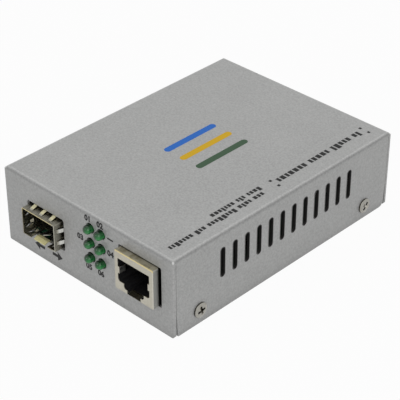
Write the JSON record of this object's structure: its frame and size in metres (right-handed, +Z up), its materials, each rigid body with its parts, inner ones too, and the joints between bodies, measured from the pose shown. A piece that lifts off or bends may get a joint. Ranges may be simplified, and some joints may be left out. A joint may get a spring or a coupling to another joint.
{
  "type": "fibre media converter",
  "caption": "Flat folded-metal case with a pluggable fibre module cage, a shielded copper jack, green signal lamps, side vents and a rear power inlet.",
  "frame": {"origin": "middle of the base plate's underside, which is the face that the case rests on", "axes": "+Z up, ports face -Y, +X to the right when facing the ports"},
  "size_m": [0.0724, 0.0976, 0.026],
  "materials": {
    "silver_coat": "fine silver powder coat, satin",
    "base_coat": "fine silver powder coat, satin",
    "nickel_screw": "nickel plated, satin",
    "zinc_steel": "zinc plated",
    "board_laminate": "green solder resist, semi-gloss",
    "tinned_sheet": "tinned and nickel plated sheet, satin",
    "black_moulding": "black moulded plastic",
    "gold_contact": "gold plated",
    "tinned_wire": "tinned",
    "nickel_pin": "nickel plated",
    "chip_resin": "black moulding resin",
    "crystal_can": "drawn metal can",
    "ferrite": "dark grey ferrite",
    "capacitor_can": "drawn aluminium can",
    "green_lens": "clear tinted green, glossy"
  },
  "bodies": {
    "root": {"cover": "silver_coat", "cover_screws": "nickel_screw", "base_plate": "base_coat", "standoffs": "zinc_steel", "board": "board_laminate", "board_screws": "nickel_screw", "module_cage": "tinned_sheet", "module_connector": "black_moulding", "module_contacts": "gold_contact", "jack_shield": "tinned_sheet", "jack_housing": "black_moulding", "jack_contacts": "gold_contact", "lamp_leads": "tinned_wire", "power_inlet": "black_moulding", "inlet_pin": "nickel_pin", "inlet_leaf": "nickel_pin", "line_transformer": "chip_resin", "converter_chip": "chip_resin", "memory_chip": "chip_resin", "regulator": "chip_resin", "clock_crystal": "crystal_can", "inductor": "ferrite", "capacitors": "capacitor_can", "lamp_1": "green_lens", "lamp_2": "green_lens", "lamp_3": "green_lens", "lamp_4": "green_lens", "lamp_5": "green_lens", "lamp_6": "green_lens", "lamp_spacer_1": "black_moulding", "lamp_spacer_2": "black_moulding"}
  },
  "joints": []
}
